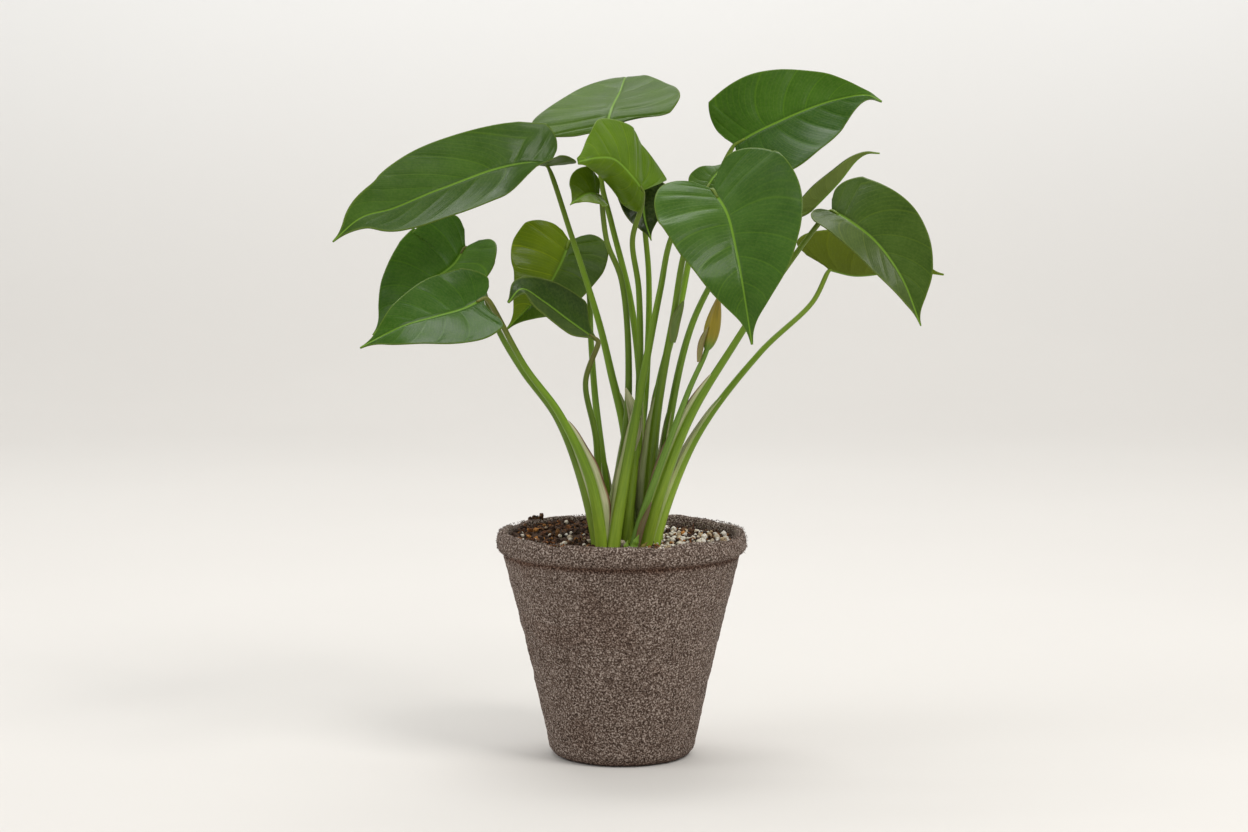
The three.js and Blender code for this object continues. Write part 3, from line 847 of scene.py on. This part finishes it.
def on_rib(leaf, along):
    """Places and directions along the rib, straight on where along is outside 0 to 1."""
    rib, length = centripetal([joint_of(leaf), *planted(leaf["rib"])])
    tangent = unit(np.gradient(rib, axis=0))
    steady = leaf["steady"]
    tangent = unit(tangent * (1 - steady) + unit(rib[-1] - rib[0]) * steady)
    held = np.clip(along, 0, 1)
    at = held * (len(rib) - 1)
    index = np.minimum(at.astype(int), len(rib) - 2)
    part = (at - index)[:, None]
    forward = unit(tangent[index] * (1 - part) + tangent[index + 1] * part)
    base = rib[index] * (1 - part) + rib[index + 1] * part
    return base + forward * ((along - held) * length)[:, None], forward


def joint_of(leaf):
    """Where the blade starts, just past the petiole's end, on the outside of the bend."""
    before, end = planted(leaf["petiole"][-2:])
    rising = unit(end - before)
    leaving = unit(planted(leaf["rib"])[0] - end)
    return end + unit(rising + leaving) * JOINT_GAP


def blade_points(leaf, row, across, seed):
    """The middle sheet of a blade, its upward direction, and the measures that a finish needs."""
    share, right = np.abs(across), across < 0
    edge_along, edge_out = edge_of(leaf, row, right)
    along = row**1.5 * (1 - share) + edge_along * share
    half = by_half(right, leaf["half"])
    out = half * edge_out * share
    phase = row * by_half(right, RIPPLES) + seed * 1.7 + right * 2.1
    ripple = leaf["wave"] * (share**2) * np.sin(phase)
    ripple *= smooth(edge_out, 0.05, 0.4)
    lift = by_half(right, leaf["lift"]) * smooth(-along, -0.28, 0.06)
    curl = by_half(right, leaf["curl"]) * share * edge_out
    angle = np.radians(by_half(right, leaf["fold"]) + curl + lift)
    base, forward = on_rib(leaf, along)
    side = unit(np.cross(np.array(leaf["faces"], float), forward))
    up = np.cross(forward, side)
    sign = np.where(right, -1, 1)
    steep = angle * np.minimum(out / 2.0, 1)
    outward = side * (sign * np.cos(angle))[:, None] + up * np.sin(angle)[:, None]
    normal = up * np.cos(steep)[:, None] - side * (sign * np.sin(steep))[:, None]
    return base + outward * out[:, None], normal, {
        "vein": (row - 0.1 * share**1.4) * leaf["veins"] + 0.5 * right,
        "off": out / (0.55 + 0.6 * (1 - np.clip(along, 0, 1))),
        "edge": (1 - share) * half * edge_out,
        "along": along, "ripple": ripple, "share": share, "right": right, "width": half * edge_out,
    }


def blade(name, leaf):
    """A leaf's blade: two faces that quilt between the veins, with the rib as a groove and a ridge."""
    seed = int(name)
    rows, columns = BLADE_ROWS, BLADE_COLUMNS
    row, across = np.linspace(0, 1, rows).repeat(columns), np.tile(np.linspace(1, -1, columns), rows)
    middle, normal, at = blade_points(leaf, row, across, seed)
    share, off = at["share"], at["off"]
    inside = smooth(at["edge"], 0, 4) * smooth(share, 0.02, 0.2)
    size = np.clip(at["width"] / 25, 0.2, 1)
    to_vein = 0.5 - np.abs(at["vein"] % 1 - 0.5)
    quilt = size * inside * (0.42 * np.sqrt(smooth(to_vein, 0, 0.32)) - 0.25)
    groove = -0.5 * np.exp(-((off / 0.9) ** 2)) * smooth(1 - at["along"], 0, 0.3)
    undulate = 0.5 * size * noise(middle, 19, seed)
    sheet = quilt + undulate + at["ripple"]
    thick = 0.24 + 0.16 * (1 - share)
    ridge = 0.75 * np.exp(-((off / 1.1) ** 2)) * (1 - np.clip(at["along"], 0, 1)) ** 0.8
    top = middle + normal * (sheet + groove + thick)[:, None]
    bottom = middle + normal * (sheet - thick - ridge)[:, None]
    points, faces = shell(top, bottom, rows, columns)

    # The two halves' colours, which hold painted light and shade as well as the leaf's green, meet in a
    # narrow blend along the rib.
    left, right = (np.array(srgb(*c)) for c in leaf["tint"])
    tint = np.where(at["right"][:, None], right, left)
    blend = smooth(across, -0.12, 0.12)[:, None]
    tint = np.where(share[:, None] < 0.12, right * (1 - blend) + left * blend, tint)
    tint = tint * (1 + 0.1 * noise(middle, 26, seed + 40))[:, None]
    attributes = {key: np.tile(at[key], 2) for key in ("vein", "off", "edge")}
    attributes["under"] = np.repeat([0.0, 1.0], rows * columns)
    attributes["tint"] = np.tile(tint, (2, 1))
    thing = mesh_object(f"blade_{name}", points, flipped(faces), attributes)
    return show(thing, LEAF, "leaf", f"leaf_{name}")


# ---- Petioles ----


def stalk_line(points, steps):
    """A stalk's curve, which starts below the soil under its first point."""
    start = points[0].copy()
    start[2] = SOIL_TOP - STALK_BURIED
    return centripetal([start, *points], steps)


def stalk(line, radius, tint, groove=0.14, sides=STALK_SIDES):
    """A tube along a line, a little hollow on the side that faces the plant's middle."""
    steps = len(line)
    tangent, inward = carried_frames(line, [-line[steps // 2, 0], -line[steps // 2, 1], 0.2])
    other = np.cross(tangent, inward)
    turn = angles(sides)
    hollow = 1 - groove * np.exp(-((np.minimum(turn, 2 * np.pi - turn) / 0.5) ** 2))
    ring = spokes(inward, other, turn)
    points = (line[:, None] + ring * (radius[:, None] * hollow)[:, :, None]).reshape(-1, 3)
    round_it = np.cos(turn)[None] * 2.5, np.sin(turn)[None] * 2.5
    grain = np.stack(np.broadcast_arrays(*round_it, distances(line)[:, None] * 0.05), 2)
    attributes = {
        "tint": np.repeat(tint, sides, axis=0), "grain": grain.reshape(-1, 3),
        "cream": np.zeros(len(points)), "brown": np.zeros(len(points)),
    }
    return (points, tube_faces(steps, sides), attributes), inward, other


def strip_grain(fine, run):
    """Grain that runs along a strip, for its rows and its columns."""
    run = run[:, None]
    return np.stack(np.broadcast_arrays(fine * 3, fine * 0, run), 2).reshape(-1, 3)


def sheath(line, radius, inward, other, tint, reach, width, dry, hand):
    """One wing of the sheath: a thin curved strip beside the petiole, cream inside and brown-edged."""
    share = np.linspace(0, 1, len(line))
    used = share <= reach
    line, radius, inward, other, tint = (x[used] for x in (line, radius, inward, other, tint))
    rise = share[used] / reach
    wing = width * np.clip(1 - rise, 0, 1) ** 0.55 * (0.12 + 0.88 * smooth(rise, 0.05, 0.5))
    wing *= 1 + 0.06 * np.sin(rise * 23 + hand)
    rows, columns = len(line), SHEATH_COLUMNS
    fine = np.linspace(0, 1, columns)
    lean = np.radians(58)
    root = inward * math.cos(lean) + other * hand * math.sin(lean)
    points, step = [line + root * (radius * 0.86)[:, None]], wing / (columns - 1)
    for k in range(1, columns):
        turn = np.radians(52 - 58 * fine[k])
        outward = inward * math.cos(turn) + other * hand * math.sin(turn)
        points.append(points[-1] + outward * step[:, None])
    sheet = np.stack(points, 1)
    away = unit(np.cross(np.gradient(sheet, axis=0), np.gradient(sheet, axis=1)) * hand)
    thick = 0.32 - 0.2 * fine[None, :, None]
    outer, inner = (sheet + away * thick).reshape(-1, 3), (sheet - away * thick).reshape(-1, 3)
    points, faces = shell(outer, inner, rows, columns)
    rim = np.tile(smooth(fine, 0.62, 0.86) * dry, (rows, 1)) * smooth(rise, 0.05, 0.3)[:, None]
    pale = smooth(fine, 0.05, 0.3) * (0.25 + 0.6 * dry)
    pale = np.tile(pale, (rows, 1)) * smooth(rise, 0.02, 0.3)[:, None]
    attributes = {
        "tint": np.tile(np.repeat(tint, columns, axis=0), (2, 1)),
        "grain": np.tile(strip_grain(fine, np.linspace(0, rows, rows) * 0.08), (2, 1)),
        "cream": np.concatenate([pale.ravel(), np.full(rows * columns, 0.9)]),
        "brown": np.tile(rim.ravel(), 2),
    }
    return points, flipped(faces) if hand < 0 else faces, attributes


def stalk_tint(share, seed):
    """Bright at the soil, deeper green above, a little different for each petiole."""
    shades = ((142, 168, 50), (104, 134, 22), (98, 118, 24))
    low, middle, high = (np.array(srgb(*c)) for c in shades)
    lift = smooth(share, 0.08, 0.42)[:, None]
    tint = low * (1 - lift) + middle * lift
    lift = smooth(share, 0.6, 1)[:, None]
    tint = tint * (1 - lift) + high * lift
    return tint * (1 + 0.22 * math.sin(seed * 2.3) + 0.08 * np.sin(share * 9 + seed))[:, None]


def petiole(name, leaf):
    """A leaf's stalk with the two wings of its sheath."""
    points = planted(leaf["petiole"])
    joint = joint_of(leaf)
    toward = planted(leaf["rib"])[0]
    route = [*points, joint, joint + (toward - joint) * 0.35]
    line, _ = stalk_line(np.array(route), STALK_STEPS)
    share = np.linspace(0, 1, len(line))
    foot = PETIOLE_FOOT_RADIUS * leaf["girth"]
    radius = PETIOLE_TIP_RADIUS + (foot - PETIOLE_TIP_RADIUS) * (1 - share) ** 1.8
    radius = radius * (1 - 0.45 * smooth(share, 0.94, 1))
    tint = stalk_tint(share, int(name))
    tube, inward, other = stalk(line, radius, tint)
    if name in BROWN_TOPPED:
        tube[2]["brown"] = np.repeat(0.35 * smooth(share, 0.72, 0.9), STALK_SIDES)
    settings = (tint, *leaf["sheath"], leaf["dry"])
    wings = [sheath(line, radius, inward, other, *settings, hand) for hand in (-1, 1)]
    thing = mesh_object(f"stalk_{name}", *joined([tube, *wings]))
    return show(thing, STALK, "petiole", f"petiole_{name}")


def rolled_leaf():
    """The youngest leaf: a slender stalk whose tip is a tight, tapered roll."""
    route = planted([[5, -17, 0], [31, -19, 75], [40, -20, 96], [43, -20, 109], [46, -21, 123]])
    steps, sides = 160, 22
    line, _ = stalk_line(route, steps)
    share = np.linspace(0, 1, len(line))
    thin = 0.7 * (1.5 + 1.5 * (1 - share) ** 1.5)
    roll = np.clip((share - 0.8) / 0.2, 0, 1)
    swell = 3.1 * np.sin(np.pi * np.clip(roll, 0, 0.985) ** 0.75)
    radius = np.maximum(thin * (1 - roll), 0) + swell + 0.1
    green, olive = np.array(srgb(108, 140, 50)), np.array(srgb(150, 132, 34))
    ripe = smooth(roll, 0, 0.3)[:, None]
    tint = green * (1 - ripe) + olive * ripe
    tube, _, _ = stalk(line, radius, tint, groove=0.3, sides=sides)
    tube[2]["brown"] = np.repeat(0.35 * smooth(roll, 0.35, 0.95), sides)
    thing = mesh_object("rolled_leaf_fine", *tube)
    return show(thing, STALK, "petiole", "rolled_leaf")


def sprout():
    """A new shoot with two short husks."""
    # How far each stands to the side, its height, its thickness and its colour.
    shoots = (
        (0, 9, 2.0, (116, 150, 46)), (-3.4, 6.5, 1.6, (128, 158, 52)), (2.8, 5.5, 1.5, (134, 116, 58)),
    )
    parts, steps, sides = [], 40, 14
    for lean, height, wide, hue in shoots:
        middle, tip = [6 + lean * 1.2, -27, height * 0.45], [8 + lean * 1.5, -28, height]
        line, _ = centripetal(planted([[5 + lean, -26, -2], middle, tip]), steps)
        share = np.linspace(0, 1, steps)
        radius = wide * np.sin(np.pi * (0.3 + 0.68 * share)) * (1 + 0.12 * np.sin(share * 20))
        tint = np.tile(srgb(*hue), (steps, 1))
        tube, _, _ = stalk(line, radius, tint, groove=0.35, sides=sides)
        tube[2]["brown"] = np.repeat(0.7 * (1 - smooth(share, 0.05, 0.4)), sides)
        parts.append(tube)
    thing = mesh_object("sprout_fine", *joined(parts))
    return show(thing, STALK, "petiole", "sprout")


def husk(points, width, hue, cream, brown):
    """A thin pointed scale along a route, hollow towards the back."""
    rows, columns = 36, 9
    line, _ = centripetal(planted(points), rows)
    share = np.linspace(0, 1, rows)
    tangent, aside = carried_frames(line, (1, -0.2, 0))
    away = np.cross(tangent, aside)
    half = width / 2 * np.sin(np.pi * (0.12 + 0.86 * share)) ** 0.8
    across = np.linspace(-1, 1, columns)
    bow = np.cos(across * 1.3) - math.cos(1.3)
    sheet = line[:, None] + aside[:, None] * (half[:, None] * across)[:, :, None]
    sheet = sheet + away[:, None] * (half[:, None] * bow)[:, :, None]
    thick = 0.3 - 0.18 * np.abs(across)[None, :, None]
    front = (sheet + away[:, None] * thick).reshape(-1, 3)
    back = (sheet - away[:, None] * thick).reshape(-1, 3)
    points, faces = shell(front, back, rows, columns)
    rim = np.tile(smooth(np.abs(across), 0.6, 0.95), (rows, 1)) * brown
    attributes = {
        "tint": np.tile(srgb(*hue), (len(points), 1)),
        "grain": np.tile(strip_grain(across, share * 2), (2, 1)),
        "cream": np.full(len(points), cream), "brown": np.tile(rim.ravel(), 2),
    }
    return points, faces, attributes


def husks():
    """Dry and green sheath tips that stand off the stalks."""
    # Each one's route, width, colour, and how cream and how brown-edged it is.
    parts = [
        husk([[5, -11, 47], [6.2, -13.5, 62], [1.8, -12.5, 77]], 6.5, (160, 176, 96), 0.85, 0.15),
        husk([[24, -20, 99], [25, -23, 109], [29, -24, 119]], 5, (92, 120, 30), 0.1, 0.3),
        husk([[36, -22, 90], [37.5, -23, 100], [40.5, -24, 107]], 3, (140, 128, 60), 0.2, 0.8),
        husk([[7, -22, 0], [9, -23, 11], [14, -23, 24]], 3, (100, 76, 40), 0.15, 0.9),
    ]
    thing = mesh_object("sheath_tips", *joined(parts))
    return show(thing, STALK, "petiole")


# ---- Build ----

pot()
rim_fibres()
soil()
crumbs()
bark()
perlite()
for number, own in LEAVES.items():
    leaf = PLAIN | own
    petiole(number, leaf)
    blade(number, leaf)
rolled_leaf()
sprout()
husks()


# ---- Studio ----


def studio_floor():
    """A plain pale floor that curves up into a plain pale wall."""
    bend, depth, top, half = 0.9, 1.4, 3.2, 4.0  # metres
    sweep = np.linspace(0, math.pi / 2, 24)
    line = [(-half, 0.0)]
    line += [(depth + bend * math.sin(a), bend * (1 - math.cos(a))) for a in sweep]
    line += [(depth + bend, top)]
    points = np.array([[x, y, z] for y, z in line for x in (-half, half)]) / MM
    thing = mesh_object("studio_floor", points, [grid_faces(len(line), 2)[:, ::-1]])
    s = Shader("studio_paper", Specular_IOR_Level=0.2)
    rise = s.node("SeparateXYZ", {0: s.place}, 2)
    tone = s.mix(s.step(rise, 0.0, 0.7), srgb(212, 209, 205), srgb(247, 247, 246))
    tone = s.mix(s.step(s.noise(400, 2), 0.3, 0.7, 0.0, 0.1), tone, srgb(226, 224, 220))
    thing.data.materials.append(s.finish(tone, s.step(s.noise(3, 2), 0.3, 0.7, 0.85, 0.95)))


def softbox(name, place, target, size, power, colour=(1, 1, 1)):
    """A rectangular lamp at a place in metres, turned to a target."""
    light = bpy.data.lights.new(name, "AREA")
    light.shape = "RECTANGLE"
    light.size, light.size_y = size
    light.energy = power
    light.color = colour
    lamp = linked(name, light)
    lamp.location = place
    lamp.rotation_euler = (Vector(target) - Vector(place)).to_track_quat("-Z", "Y").to_euler()


def studio():
    """The floor, four soft lamps and a pale sky."""
    studio_floor()
    softbox("key", (0.95, -0.9, 1.5), (0, 0, 0.2), (0.7, 0.7), 17, (1, 0.98, 0.95))
    softbox("fill", (-1.4, -0.5, 1.1), (0, 0, 0.2), (0.8, 1.0), 7)
    softbox("top", (-0.1, 0.6, 1.6), (0, 0, 0.22), (1.2, 0.6), 9)
    softbox("wall", (0, 1.0, 2.3), (0, 2.3, 0.8), (2.4, 0.4), 14)
    world = bpy.data.worlds.new("studio_air")
    world.use_nodes = True
    sky = world.node_tree.nodes["Background"].inputs
    sky["Color"].default_value = (1, 0.995, 0.975, 1)
    sky["Strength"].default_value = 0.62
    bpy.context.scene.world = world
    bpy.context.scene.view_settings.view_transform = "Standard"


def camera():
    """A long lens a little above the leaves, tipped down by a few degrees."""
    lens = bpy.data.cameras.new("view")
    lens.lens = 85
    lens.sensor_width = 36
    lens.clip_start = 0.05
    eye = linked("view", lens)
    eye.location = (0.001, -1.402, 0.3065)
    tip_down = 5.81
    eye.rotation_euler = (math.radians(90 - tip_down), 0, 0)
    bpy.context.scene.camera = eye


studio()
camera()
